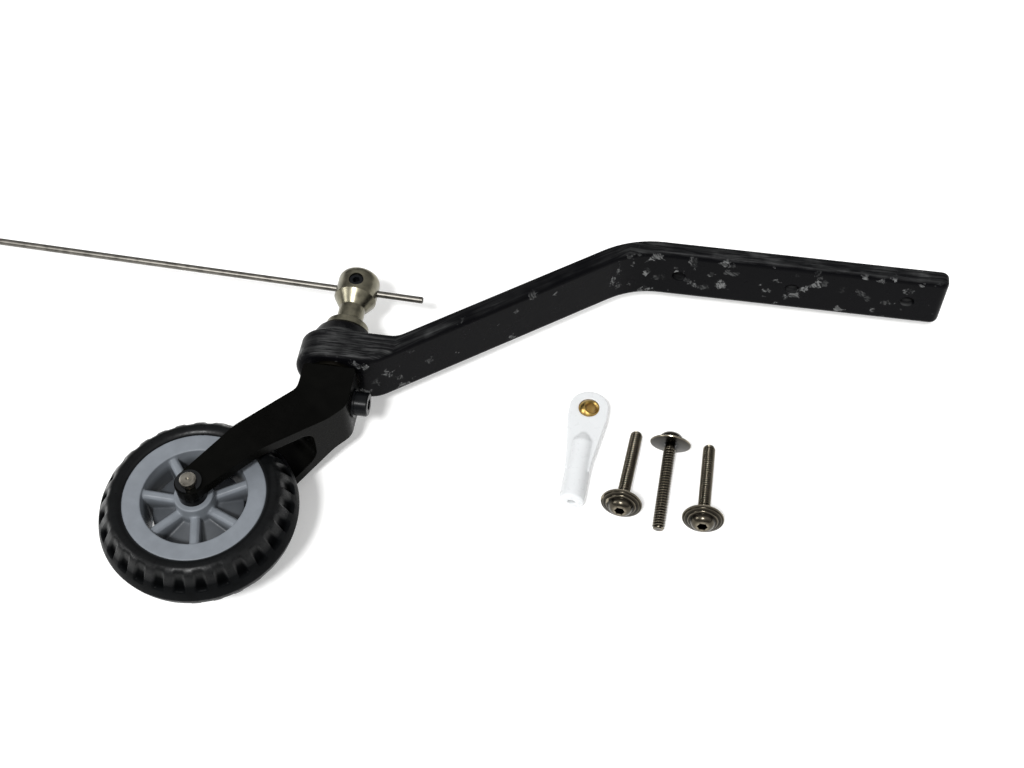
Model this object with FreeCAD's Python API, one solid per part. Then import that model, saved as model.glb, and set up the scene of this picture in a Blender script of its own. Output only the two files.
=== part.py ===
"""Steerable tailwheel for a large model aeroplane, lying on its side with its loose fittings.

Millimetres. The origin is the middle mounting hole, where it meets the mounting face.
+X runs along the mounting strap to its free end, +Y leaves the mounting face square to it,
and +Z is the sideways direction, up here because the assembly lies on its side.
The arm, fork and wheel are symmetric about the plane Z = 0.
"""
import FreeCAD, Part
import math
import os

# Mounting strap, the flat end of the arm
strap_width = 16.0
strap_thickness = 4.0
hole_pitch = 27.0
mount_hole_diameter = 3.4
end_margin = 8.5
end_corner_radius = 2.0
top_edge_radius = 1.0
under_edge_radius = 1.7

# Bend and sloping part of the arm
bend_margin = 12.2
bend_radius = 22.0
arm_angle = 36.2
heel_radius = 5.0
sole_radius = 8.0

# Hub at the low end of the arm
steering_back = 102.6
steering_drop = 36.4
hub_height = 8.0
hub_overhang = 9.3
hub_corner_radius = 7.9
crown_height = 3.0
crown_base_radius = 7.9
crown_top_radius = 6.7

# Flanged bushings pressed into the hub
bushing_outer_diameter = 8.0
bushing_sleeve_length = 5.0
bushing_flange_radius = 6.0
bushing_flange_thickness = 0.9

# Thrust washers above and below the hub
washer_radius = 5.5
washer_thickness = 0.4

# Clearances
running_clearance = 0.05
thrust_clearance = 0.05
wheel_end_clearance = 0.15
screw_clearance = 0.1
ball_clearance = 0.07

# Steering post
post_diameter = 6.0
shoulder_radius = 5.0
shoulder_thickness = 2.1
shoulder_chamfer = 0.3
neck_diameter = 6.2
neck_length = 4.9
taper_length = 2.95
head_diameter = 10.0
head_height = 7.2
head_edge_radius = 2.2
post_depth_in_fork = 11.2
post_end_chamfer = 0.5

# Tiller wire and the set screw that holds it
wire_diameter = 1.6
wire_long_end = 114.0
wire_short_end = 16.0
wire_end_chamfer = 0.2
wire_height_in_head = 2.65
tiller_clocking = 2.3
set_screw_diameter = 3.5
set_screw_recess = 0.5
set_screw_socket = 1.6
set_screw_socket_depth = 1.6

# Fork
boss_width = 12.0
boss_thickness = 12.4
fork_edge_radius = 0.8
fork_front_radius = 4.0
fork_back_radius = 5.0
axle_back = 21.25
axle_drop = 46.9
leg_front_angle = 49.7
leg_back_angle = 58.2
leg_tip_radius = 3.1
leg_thickness = 2.6
leg_direction = 50.3
tip_half_width = 12.0
flat_leg_length = 15.7
flare_end_length = 33.4
slot_top_length = 29.0
slot_top_radius = 4.0
flare_radius = 8.0

# Clamp screw in front of the fork, with its washer
clamp_screw_drop = 5.3
clamp_screw_diameter = 3.0
clamp_screw_length = 8.0
clamp_head_diameter = 5.5
clamp_head_height = 3.0
clamp_head_chamfer = 0.3
clamp_socket = 2.5
clamp_socket_depth = 1.6
clamp_washer_radius = 3.3
clamp_washer_thickness = 0.5

# Axle, its clips and spacers
axle_diameter = 3.5
axle_overhang = 1.7
axle_chamfer = 0.35
dimple_radius = 0.4
clip_thickness = 0.55
clip_outer_radius = 2.8
clip_groove_depth = 0.4
clip_opening = 2.2
spacer_radius = 3.1

# Wheel
wheel_diameter = 43.4
tyre_width = 14.2
tyre_wall_radius = 17.1
tyre_shoulder_radius = 19.0
tyre_shoulder_width = 11.8
tread_middle_radius = 20.75
rim_radius = 15.45
rim_inner_radius = 11.5
rim_width = 12.6
rim_flange_thickness = 1.2
tyre_seat_radius = 14.1
hub_boss_radius = 4.2
hub_boss_draft = 0.4
hub_boss_width = 13.9
web_thickness = 1.8
web_root_thickness = 5.0
web_outer_radius = 9.9
spoke_count = 7
spoke_width = 2.1
spoke_inner_depth = 9.2
spoke_outer_depth = 11.6
spoke_edge_chamfer = 0.55
spoke_end_cover = 0.625
spoke_start_angle = 130.3
lug_count = 28
first_groove_angle = 5.6
groove_width = 2.3
groove_depth = 0.9
rib_half_width = 2.7
groove_end_radius = 18.0
groove_end_height = 6.85
groove_end_step = 0.1

# Ball link lying on the surface
link_eye_radius = 4.6
link_plate_thickness = 3.7
link_shank_radius = 2.95
link_length = 24.8
link_waist_length = 15.0
link_shank_start = 6.5
link_socket_diameter = 1.7
link_socket_depth = 14.0
link_end_chamfer = 0.4
ball_radius = 2.9
ball_height = 4.4
ball_bore_diameter = 2.7
ball_bore_chamfer = 0.3
ball_tilt = 18.0
link_position = (-44.1, -38.7)
link_heading = -92.1

# Loose flanged screws lying on the surface: place of the head and heading from tip to head
screw_diameter = 2.85
screw_length = 20.9
screw_tip_chamfer = 0.35
screw_flange_radius = 4.7
screw_flange_thickness = 0.75
screw_step_radius = 3.4
screw_step_height = 0.35
screw_dome_radius = 2.75
screw_dome_height = 1.5
screw_dome_top_radius = 1.55
screw_socket = 2.0
screw_socket_depth = 1.4
screw_1_position = (-33.8, -62.8)
screw_1_heading = -94.0
screw_2_position = (-24.4, -46.0)
screw_2_heading = 88.3
screw_3_position = (-15.45, -64.1)
screw_3_heading = -90.2

# Levels along the steering axis, worked out from the top of the hub downwards
hub_top = -steering_drop
crown_top = hub_top + crown_height
hub_bottom = hub_top - hub_height
upper_flange_top = crown_top + bushing_flange_thickness
upper_washer_bottom = upper_flange_top + thrust_clearance
shoulder_bottom = upper_washer_bottom + washer_thickness
shoulder_top = shoulder_bottom + shoulder_thickness
neck_top = shoulder_top + neck_length
head_bottom = neck_top + taper_length
head_top = head_bottom + head_height
wire_level = head_bottom + wire_height_in_head
lower_flange_bottom = hub_bottom - bushing_flange_thickness
lower_washer_top = lower_flange_bottom - thrust_clearance
fork_top = lower_washer_top - washer_thickness
post_bottom = fork_top - post_depth_in_fork
clamp_level = fork_top - clamp_screw_drop

# Places in the plan of the row frame
steering_x = -steering_back
axle_x = steering_x - axle_back
axle_y = hub_top - axle_drop
boss_front = steering_x + boss_width / 2
boss_back = steering_x - boss_width / 2
axle_half_length = tip_half_width + axle_overhang
surface_level = -axle_half_length

ORIGIN = FreeCAD.Vector(0, 0, 0)
X_AXIS = FreeCAD.Vector(1, 0, 0)
Y_AXIS = FreeCAD.Vector(0, 1, 0)
Z_AXIS = FreeCAD.Vector(0, 0, 1)


def vector(x, y, z=0.0):
    return FreeCAD.Vector(x, y, z)


def rounded_outline(corners):
    """Closed wire in the XY plane through (x, y, radius) corners, each rounded by its radius."""
    pieces = []
    count = len(corners)
    starts = []
    ends = []
    middles = []
    for index in range(count):
        x, y, radius = corners[index]
        corner = vector(x, y)
        before = vector(*corners[index - 1][:2])
        after = vector(*corners[(index + 1) % count][:2])
        incoming = (corner - before).normalize()
        outgoing = (after - corner).normalize()
        turn = incoming.getAngle(outgoing)
        setback = radius * math.tan(turn / 2)
        starts.append(corner - incoming * setback)
        ends.append(corner + outgoing * setback)
        if radius > 0:
            inward = (outgoing - incoming).normalize()
            middles.append(corner + inward * (radius / math.cos(turn / 2) - radius))
        else:
            middles.append(None)
    for index in range(count):
        if middles[index]:
            pieces.append(Part.Arc(starts[index], middles[index], ends[index]).toShape())
        following = starts[(index + 1) % count]
        if ends[index].distanceToPoint(following) > 1e-6:
            pieces.append(Part.LineSegment(ends[index], following).toShape())
    return Part.Wire(pieces)


def prism(outline, low, high):
    """Solid between two levels of Z, with the outline as its section."""
    face = Part.Face(outline)
    face.translate(vector(0, 0, low))
    return face.extrude(vector(0, 0, high - low))


def turned(points):
    """Solid turned about +Z from (radius, height) points."""
    corners = [vector(radius, 0, height) for radius, height in points]
    return Part.Face(Part.makePolygon(corners + corners[:1])).revolve(ORIGIN, Z_AXIS, 360)


def rod(radius, low, high, chamfer=0.0):
    """Round rod along +Z with the same chamfer at both ends."""
    if chamfer == 0:
        return Part.makeCylinder(radius, high - low, vector(0, 0, low))
    return turned([(0, low), (radius - chamfer, low), (radius, low + chamfer),
                   (radius, high - chamfer), (radius - chamfer, high), (0, high)])


def ring(inner, outer, low, high):
    """Flat ring about +Z."""
    return rod(outer, low, high).cut(rod(inner, low - 1, high + 1))


def hexagon(across_flats, low, high):
    """Hexagonal prism along +Z, the cut of an Allen key socket."""
    reach = across_flats / math.sqrt(3)
    corners = []
    for index in range(6):
        angle = math.radians(60 * index)
        corners.append((reach * math.cos(angle), reach * math.sin(angle), 0))
    return prism(rounded_outline(corners), low, high)


def placed(shape, turn_axis, turn, place):
    """Copy of a shape, turned about an axis through the origin and then moved."""
    result = shape.copy()
    result.rotate(ORIGIN, turn_axis, turn)
    result.translate(place)
    return result


def on_steering_axis(shape):
    """Put a shape made about +Z on the steering axis, with its heights as Y levels."""
    return placed(shape, X_AXIS, -90, vector(steering_x, 0))


def on_axle(shape):
    return placed(shape, Z_AXIS, 0, vector(axle_x, axle_y))


def toward(direction, shape):
    """Turn a shape made about +Z so that it points along a direction."""
    result = shape.copy()
    result.Placement = FreeCAD.Placement(ORIGIN, FreeCAD.Rotation(Z_AXIS, direction))
    return result


def lying_flat(outline_shape, x, y, heading, level):
    """Put a shape that runs along +X on the surface, headed in the plan."""
    return placed(outline_shape, Z_AXIS, heading, vector(x, y, level))


# Arm: the strap, the bend, the slope and the hub in one moulding
def arm_side_outline():
    slope = math.tan(math.radians(arm_angle))
    bend_x = -hole_pitch - bend_margin
    under_bend_x = bend_x + strap_thickness * math.tan(math.radians(arm_angle / 2))
    heel_x = bend_x + hub_top / slope
    sole_x = under_bend_x + (hub_bottom + strap_thickness) / slope
    half = strap_thickness / 2
    past_free_end = hole_pitch + 2 * end_margin
    past_hub = steering_x - 2 * hub_overhang
    return rounded_outline([
        (past_free_end, 0, 0), (bend_x, 0, bend_radius + half),
        (heel_x, hub_top, heel_radius), (past_hub, hub_top, 0),
        (past_hub, hub_bottom, 0), (sole_x, hub_bottom, sole_radius),
        (under_bend_x, -strap_thickness, bend_radius - half), (past_free_end, -strap_thickness, 0)])


def arm_plan_outline():
    half = strap_width / 2
    free_end = hole_pitch + end_margin
    hub_end = steering_x - hub_overhang
    return rounded_outline([
        (free_end, half, end_corner_radius), (hub_end, half, hub_corner_radius),
        (hub_end, -half, hub_corner_radius), (free_end, -half, end_corner_radius)])


def skin_edges(shape, side):
    """Edges where the walls of the plan meet the upper (+1) or lower (-1) skin of the arm."""
    found = []
    for edge in shape.Edges:
        middle = edge.valueAt((edge.FirstParameter + edge.LastParameter) / 2)
        walls = 0
        skins = 0
        for face in shape.ancestorsOfType(edge, Part.Face):
            normal = face.normalAt(*face.Surface.parameter(middle))
            if abs(normal.y) < 1e-4:
                walls += 1
            elif normal.y * side > 0:
                skins += 1
        if walls == 1 and skins == 1:
            found.append(edge)
    return found


def make_arm():
    half = strap_width / 2
    side = prism(arm_side_outline(), -half - 1, half + 1)
    plan = prism(arm_plan_outline(), -2 * steering_drop, steering_drop)
    plan.rotate(ORIGIN, X_AXIS, -90)
    body = side.common(plan)
    body = body.makeFillet(top_edge_radius, skin_edges(body, 1))
    body = body.makeFillet(under_edge_radius, skin_edges(body, -1))
    crown = turned([(0, hub_bottom + hub_height / 2), (crown_base_radius, hub_bottom + hub_height / 2),
                    (crown_base_radius, hub_top), (crown_top_radius, crown_top), (0, crown_top)])
    body = body.fuse(on_steering_axis(crown))
    bore = rod(bushing_outer_diameter / 2, hub_bottom - 1, crown_top + 1)
    body = body.cut(on_steering_axis(bore))
    for index in (-1, 0, 1):
        hole = rod(mount_hole_diameter / 2, -strap_thickness - 1, 1)
        body = body.cut(placed(hole, X_AXIS, -90, vector(index * hole_pitch, 0)))
    return body.removeSplitter()


def make_bushing(flange_face, flange_side):
    """Flanged bushing whose flange rests on a face of the hub; the side is +1 above, -1 below."""
    inner = post_diameter / 2 + running_clearance
    flange_end = flange_face + flange_side * bushing_flange_thickness
    sleeve_end = flange_face - flange_side * bushing_sleeve_length
    flange = ring(inner, bushing_flange_radius, *sorted((flange_face, flange_end)))
    sleeve = ring(inner, bushing_outer_diameter / 2, *sorted((flange_face, sleeve_end)))
    return on_steering_axis(flange.fuse(sleeve).removeSplitter())


def make_thrust_washer(bottom):
    inner = post_diameter / 2 + running_clearance
    return on_steering_axis(ring(inner, washer_radius, bottom, bottom + washer_thickness))


# Steering post, tiller wire and set screw
def tiller_direction():
    """Direction of the wire's long end, square to the steering axis."""
    angle = math.radians(tiller_clocking)
    return vector(-math.cos(angle), 0, math.sin(angle))


def set_screw_direction():
    return tiller_direction().cross(Y_AXIS) * -1


def across_post(direction, shape, level):
    """Put a shape made about +Z square across the post at a level of Y."""
    result = toward(direction, shape)
    result.translate(vector(steering_x, level))
    return result


def make_steering_post():
    shaft = post_diameter / 2
    neck = neck_diameter / 2
    head = head_diameter / 2
    body = turned([
        (0, post_bottom), (shaft - post_end_chamfer, post_bottom),
        (shaft, post_bottom + post_end_chamfer), (shaft, shoulder_bottom),
        (shoulder_radius, shoulder_bottom), (shoulder_radius, shoulder_top - shoulder_chamfer),
        (shoulder_radius - shoulder_chamfer, shoulder_top), (neck, shoulder_top),
        (neck, neck_top), (head, head_bottom), (head, head_top), (0, head_top)])
    rim = [edge for edge in body.Edges
           if edge.BoundBox.ZMin > head_top - 1e-6 and edge.BoundBox.XLength > head]
    body = on_steering_axis(body.makeFillet(head_edge_radius, rim))
    wire_hole = rod(wire_diameter / 2 + running_clearance, -head_diameter, head_diameter)
    body = body.cut(across_post(tiller_direction(), wire_hole, wire_level))
    screw_hole = rod(set_screw_diameter / 2, 0, head_diameter)
    body = body.cut(across_post(set_screw_direction(), screw_hole, wire_level))
    tapped_end = clamp_screw_length - clamp_washer_thickness - boss_width / 2 + screw_clearance
    tapped_hole = rod(clamp_screw_diameter / 2, -tapped_end - 0.5, post_diameter)
    return body.cut(across_post(X_AXIS, tapped_hole, clamp_level))


def make_set_screw():
    """Set screw whose tip bears on the wire."""
    tip = wire_diameter / 2 + running_clearance
    outer = head_diameter / 2 - set_screw_recess
    body = rod(set_screw_diameter / 2, tip, outer, 0.2)
    body = body.cut(hexagon(set_screw_socket, outer - set_screw_socket_depth, outer + 1))
    return across_post(set_screw_direction(), body, wire_level)


def make_tiller_wire():
    body = rod(wire_diameter / 2, -wire_short_end, wire_long_end, wire_end_chamfer)
    return across_post(tiller_direction(), body, wire_level)


# Fork with two flared legs
def leg_edge(angle, side):
    """Point where a straight edge of the leg, tangent to its round tip, touches the tip.

    The side is +1 for the front edge and -1 for the back edge.
    """
    radians = math.radians(angle)
    reach = side * leg_tip_radius
    return axle_x + reach * math.sin(radians), axle_y - reach * math.cos(radians)


def height_on_edge(x, angle, side):
    """Height at which a straight edge of the leg passes a place in X."""
    touch_x, touch_y = leg_edge(angle, side)
    return touch_y + (x - touch_x) * math.tan(math.radians(angle))


def leg_edges_meeting():
    """Corner below the tip where the leg's two straight edges would meet."""
    front_x, front_y = leg_edge(leg_front_angle, 1)
    back_x, back_y = leg_edge(leg_back_angle, -1)
    front_slope = math.tan(math.radians(leg_front_angle))
    back_slope = math.tan(math.radians(leg_back_angle))
    x = (front_y - back_y + back_slope * back_x - front_slope * front_x) / (back_slope - front_slope)
    return x, front_y + (x - front_x) * front_slope


def fork_side_outline():
    corner_x, corner_y = leg_edges_meeting()
    return rounded_outline([
        (boss_back, fork_top, fork_edge_radius),
        (boss_back, height_on_edge(boss_back, leg_back_angle, -1), fork_back_radius),
        (corner_x, corner_y, leg_tip_radius),
        (boss_front, height_on_edge(boss_front, leg_front_angle, 1), fork_front_radius),
        (boss_front, fork_top, fork_edge_radius)])


def fork_front_outline():
    """Outline across the fork: distance up the leg from the axle, and Z."""
    top = 2 * axle_drop
    tip = -2 * leg_tip_radius
    half_boss = boss_thickness / 2
    return rounded_outline([
        (tip, -tip_half_width, 0), (flat_leg_length, -tip_half_width, flare_radius),
        (flare_end_length, -half_boss, flare_radius), (top, -half_boss, 0),
        (top, half_boss, 0), (flare_end_length, half_boss, flare_radius),
        (flat_leg_length, tip_half_width, flare_radius), (tip, tip_half_width, 0)])


def fork_slot_outline():
    """Gap between the legs, narrowing with the flare to a round top."""
    tip = -3 * leg_tip_radius
    flare = math.atan2(tip_half_width - boss_thickness / 2, flare_end_length - flat_leg_length)
    half_low = tip_half_width - leg_thickness
    knee = flat_leg_length - leg_thickness * math.tan(flare / 2)
    half_top = half_low - (slot_top_length - knee) * math.tan(flare)
    return rounded_outline([
        (tip, -half_low, 0), (knee, -half_low, flare_radius - leg_thickness),
        (slot_top_length, -half_top, slot_top_radius), (slot_top_length, half_top, slot_top_radius),
        (knee, half_low, flare_radius - leg_thickness), (tip, half_low, 0)])


def across_leg(outline):
    """Prism of an outline seen square to the leg, placed at the axle."""
    reach = 2 * axle_drop
    body = prism(outline, -reach, reach)
    body.rotate(ORIGIN, X_AXIS, 90)
    body.rotate(ORIGIN, Z_AXIS, leg_direction)
    body.translate(vector(axle_x, axle_y))
    return body


def make_fork():
    side = prism(fork_side_outline(), -tip_half_width - 1, tip_half_width + 1)
    body = side.common(across_leg(fork_front_outline()))
    body = body.cut(across_leg(fork_slot_outline()))
    post_bore = rod(post_diameter / 2, post_bottom - 0.3, fork_top + 1)
    body = body.cut(on_steering_axis(post_bore))
    screw_bore = rod(clamp_screw_diameter / 2 + screw_clearance, 0, boss_width)
    body = body.cut(across_post(X_AXIS, screw_bore, clamp_level))
    axle_bore = rod(axle_diameter / 2, -axle_half_length - 1, axle_half_length + 1)
    return body.cut(on_axle(axle_bore)).removeSplitter()


def on_fork_front(shape):
    """Put a shape made about +Z against the front of the fork, at the clamp screw."""
    result = toward(X_AXIS, shape)
    result.translate(vector(boss_front, clamp_level))
    return result


def make_clamp_washer():
    inner = clamp_screw_diameter / 2 + screw_clearance
    return on_fork_front(ring(inner, clamp_washer_radius, 0, clamp_washer_thickness))


def make_clamp_screw():
    under_head = clamp_washer_thickness
    top = under_head + clamp_head_height
    radius = clamp_head_diameter / 2
    head = turned([(0, under_head), (radius, under_head), (radius, top - clamp_head_chamfer),
                   (radius - clamp_head_chamfer, top), (0, top)])
    shank = rod(clamp_screw_diameter / 2, under_head - clamp_screw_length, under_head + 0.5, 0.3)
    body = head.fuse(shank)
    body = body.cut(hexagon(clamp_socket, top - clamp_socket_depth, top + 1))
    return on_fork_front(body.removeSplitter())


# Axle and what holds the wheel between the legs
def make_axle():
    radius = axle_diameter / 2
    body = rod(radius, -axle_half_length, axle_half_length, axle_chamfer)
    for side in (-1, 1):
        groove = ring(radius - clip_groove_depth, radius + 1, 0, clip_thickness)
        groove.translate(vector(0, 0, tip_half_width - (0 if side > 0 else clip_thickness)))
        if side < 0:
            groove.translate(vector(0, 0, -2 * tip_half_width))
        body = body.cut(groove)
        dimple = Part.makeCone(0, dimple_radius, dimple_radius, ORIGIN, Z_AXIS * side)
        dimple.translate(vector(0, 0, side * (axle_half_length - dimple_radius)))
        body = body.cut(dimple)
    return on_axle(body)


def make_axle_clip(side):
    """Spring clip in the axle's groove, open on one side."""
    inner = axle_diameter / 2 - clip_groove_depth
    body = ring(inner, clip_outer_radius, 0, clip_thickness)
    mouth = Part.makeBox(2 * clip_outer_radius, clip_opening, 3 * clip_thickness,
                         vector(0, -clip_opening / 2, -clip_thickness))
    body = body.cut(mouth)
    body.rotate(ORIGIN, Z_AXIS, -60)
    low = tip_half_width if side > 0 else -tip_half_width - clip_thickness
    body.translate(vector(0, 0, low))
    return on_axle(body)


def make_axle_spacer(side):
    """Spacer between a leg and the wheel's boss."""
    inner = axle_diameter / 2 + running_clearance
    near = hub_boss_width / 2 + wheel_end_clearance
    far = tip_half_width - leg_thickness
    return on_axle(ring(inner, spacer_radius, *sorted((side * near, side * far))))


# Wheel: a spoked nylon hub and a treaded tyre
def make_spoke():
    """Spoke along +X with chamfered edges, deeper at the rim than at the boss."""
    half_width = spoke_width / 2
    flat = half_width - spoke_edge_chamfer
    start, end = hub_boss_radius / 2, tyre_seat_radius - spoke_end_cover
    low, high = spoke_inner_depth / 2 - spoke_edge_chamfer, spoke_outer_depth / 2 - spoke_edge_chamfer
    corners = [vector(start, -half_width, low), vector(end, -half_width, high),
               vector(end, -half_width, -high), vector(start, -half_width, -low)]
    plate = Part.Face(Part.makePolygon(corners + corners[:1])).extrude(vector(0, spoke_width))
    ridge = [vector(0, -half_width), vector(0, -flat, spoke_edge_chamfer),
             vector(0, flat, spoke_edge_chamfer), vector(0, half_width)]
    edge = Part.Face(Part.makePolygon(ridge + ridge[:1])).extrude(vector(math.hypot(end - start, high - low), 0))
    edge.rotate(ORIGIN, Y_AXIS, -math.degrees(math.atan2(high - low, end - start)))
    edge.translate(vector(start, 0, low))
    return plate.fuse([edge, edge.mirror(ORIGIN, Z_AXIS)]).removeSplitter()


def make_wheel_hub():
    half_rim = rim_width / 2
    half_seat = half_rim - rim_flange_thickness
    seat_step = rim_radius - tyre_seat_radius
    rim = turned([
        (rim_inner_radius, -half_rim), (rim_radius, -half_rim), (rim_radius, -half_seat),
        (tyre_seat_radius, -half_seat + seat_step / 2), (tyre_seat_radius, half_seat - seat_step / 2),
        (rim_radius, half_seat), (rim_radius, half_rim), (rim_inner_radius, half_rim),
        (rim_inner_radius - hub_boss_draft, 0)])
    half_boss = hub_boss_width / 2
    boss_root = hub_boss_radius + hub_boss_draft
    boss = turned([(0, -half_boss), (hub_boss_radius, -half_boss), (boss_root, 0),
                   (hub_boss_radius, half_boss), (0, half_boss)])
    web = turned([
        (0, -web_root_thickness / 2), (boss_root, -web_root_thickness / 2),
        (web_outer_radius, -web_thickness / 2), (web_outer_radius, web_thickness / 2),
        (boss_root, web_root_thickness / 2), (0, web_root_thickness / 2)])
    spoke = make_spoke()
    angles = [spoke_start_angle + 360 * index / spoke_count for index in range(spoke_count)]
    body = boss.fuse([web, rim] + [placed(spoke, Z_AXIS, angle, ORIGIN) for angle in angles])
    bore = rod(axle_diameter / 2 + running_clearance, -half_boss - 1, half_boss + 1)
    return on_axle(body.cut(bore).removeSplitter())


def tyre_section():
    """Section of the tyre in the XZ plane, seated on the hub's rim."""
    half_rim = rim_width / 2
    half_seat = half_rim - rim_flange_thickness
    seat_step = rim_radius - tyre_seat_radius
    half = tyre_width / 2
    crown = wheel_diameter / 2
    tread_middle = (tread_middle_radius, tyre_shoulder_width / 4)

    def at(radius, z):
        return vector(radius, 0, z)

    def line(first, second):
        return Part.LineSegment(at(*first), at(*second)).toShape()

    def arc(first, middle, second):
        return Part.Arc(at(*first), at(*middle), at(*second)).toShape()

    def flip(point):
        return point[0], -point[1]

    bead = (rim_radius, half_rim)
    flange = (rim_radius, half_seat)
    seat = (tyre_seat_radius, half_seat - seat_step / 2)
    edge = (tyre_shoulder_radius, tyre_shoulder_width / 2)
    wall_end = (groove_end_radius, groove_end_height)
    pieces = [line(bead, flange), line(flange, seat), line(seat, flip(seat)),
              line(flip(seat), flip(flange)), line(flip(flange), flip(bead)),
              arc(flip(bead), (tyre_wall_radius, -half), flip(wall_end)), line(flip(wall_end), flip(edge)),
              arc(flip(edge), flip(tread_middle), (crown, 0)),
              arc((crown, 0), tread_middle, edge),
              line(edge, wall_end), arc(wall_end, (tyre_wall_radius, half), bead)]
    return Part.Wire(pieces)


def tread_groove():
    """Cut that leaves one groove across the upper shoulder, from the sidewall to the middle rib."""
    outside = wheel_diameter / 2 + 2
    above = tyre_width
    slant = groove_depth / math.sqrt(2)
    corners = [
        vector(tread_middle_radius - groove_depth, 0, rib_half_width),
        vector(outside, 0, rib_half_width), vector(outside, 0, above),
        vector(groove_end_radius + groove_end_step, 0, above),
        vector(tyre_shoulder_radius - slant, 0, tyre_shoulder_width / 2 - slant)]
    face = Part.Face(Part.makePolygon(corners + corners[:1]))
    face.translate(vector(0, -groove_width / 2))
    return face.extrude(vector(0, groove_width))


def make_wheel_tyre():
    body = Part.Face(tyre_section()).revolve(ORIGIN, Z_AXIS, 360)
    groove = tread_groove()
    grooves = []
    for index in range(lug_count):
        upper = placed(groove, Z_AXIS, first_groove_angle + 360 * index / lug_count, ORIGIN)
        grooves.append(upper)
        grooves.append(upper.mirror(ORIGIN, Z_AXIS))
    return on_axle(body.cut(grooves))


# Ball link for the rudder, loose on the surface
def link_level():
    return surface_level + link_shank_radius


def on_link(shape):
    x, y = link_position
    return lying_flat(shape, x, y, link_heading, link_level())


def make_link_body():
    waist = link_waist_length
    half_plate = link_plate_thickness / 2
    outline = rounded_outline([
        (-link_eye_radius, link_eye_radius, link_eye_radius * 0.98),
        (-link_eye_radius, -link_eye_radius, link_eye_radius * 0.98),
        (link_eye_radius * 0.6, -link_eye_radius, link_eye_radius),
        (waist, -link_shank_radius, link_eye_radius * 2), (waist + 2, -link_shank_radius, 0),
        (waist + 2, link_shank_radius, 0), (waist, link_shank_radius, link_eye_radius * 2),
        (link_eye_radius * 0.6, link_eye_radius, link_eye_radius)])
    plate = prism(outline, -half_plate, half_plate)
    shank = turned([
        (0, link_shank_start), (link_shank_radius * 0.6, link_shank_start),
        (link_shank_radius, link_shank_start + link_shank_radius),
        (link_shank_radius, link_length - link_end_chamfer),
        (link_shank_radius - link_end_chamfer, link_length), (0, link_length)])
    shank.rotate(ORIGIN, Y_AXIS, 90)
    body = plate.fuse(shank)
    body = body.cut(Part.makeSphere(ball_radius + ball_clearance))
    socket = rod(link_socket_diameter / 2, link_length - link_socket_depth, link_length + 1)
    socket.rotate(ORIGIN, Y_AXIS, 90)
    return on_link(body.cut(socket).removeSplitter())


def make_link_ball():
    """Bored brass ball with flat ends, tilted in its socket as it lies."""
    half = ball_height / 2
    bore = ball_bore_diameter / 2
    ball = Part.makeSphere(ball_radius).common(rod(ball_radius + 1, -half, half))
    ball = ball.cut(turned([
        (0, -half - 1), (bore + ball_bore_chamfer + 1, -half - 1), (bore, -half + ball_bore_chamfer),
        (bore, half - ball_bore_chamfer), (bore + ball_bore_chamfer + 1, half + 1), (0, half + 1)]))
    ball.rotate(ORIGIN, X_AXIS, -ball_tilt)
    return on_link(ball)


# Loose mounting screws
def make_mount_screw(position, heading):
    """Flanged screw resting on the rim of its flange and the end of its thread."""
    shank_radius = screw_diameter / 2
    flange_top = screw_flange_thickness
    step_top = flange_top + screw_step_height
    dome_top = step_top + screw_dome_height
    profile = [
        vector(0, 0, -screw_length), vector(shank_radius - screw_tip_chamfer, 0, -screw_length),
        vector(shank_radius, 0, -screw_length + screw_tip_chamfer), vector(shank_radius, 0, 0),
        vector(screw_flange_radius, 0, 0), vector(screw_flange_radius, 0, flange_top / 2),
        vector(screw_step_radius, 0, flange_top), vector(screw_step_radius, 0, flange_top),
        vector(screw_dome_radius, 0, step_top)]
    lines = []
    for first, second in zip(profile[:-1], profile[1:]):
        if first.distanceToPoint(second) > 1e-6:
            lines.append(Part.LineSegment(first, second).toShape())
    dome_start = profile[-1]
    dome_end = vector(screw_dome_top_radius, 0, dome_top)
    dome_middle = (dome_start + dome_end) * 0.5 + vector(0.22, 0, 0.22)
    lines.append(Part.Arc(dome_start, dome_middle, dome_end).toShape())
    axis_top = vector(0, 0, dome_top)
    lines.append(Part.LineSegment(dome_end, axis_top).toShape())
    lines.append(Part.LineSegment(axis_top, profile[0]).toShape())
    body = Part.Face(Part.Wire(lines)).revolve(ORIGIN, Z_AXIS, 360)
    body = body.cut(hexagon(screw_socket, dome_top - screw_socket_depth, dome_top + 1))
    rest_length = screw_length - screw_tip_chamfer
    lean = math.degrees(math.atan2(screw_flange_radius - shank_radius, rest_length))
    body.rotate(ORIGIN, Y_AXIS, 90 - lean)
    head_level = surface_level + screw_flange_radius * math.cos(math.radians(lean))
    return lying_flat(body, *position, heading, head_level)


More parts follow.
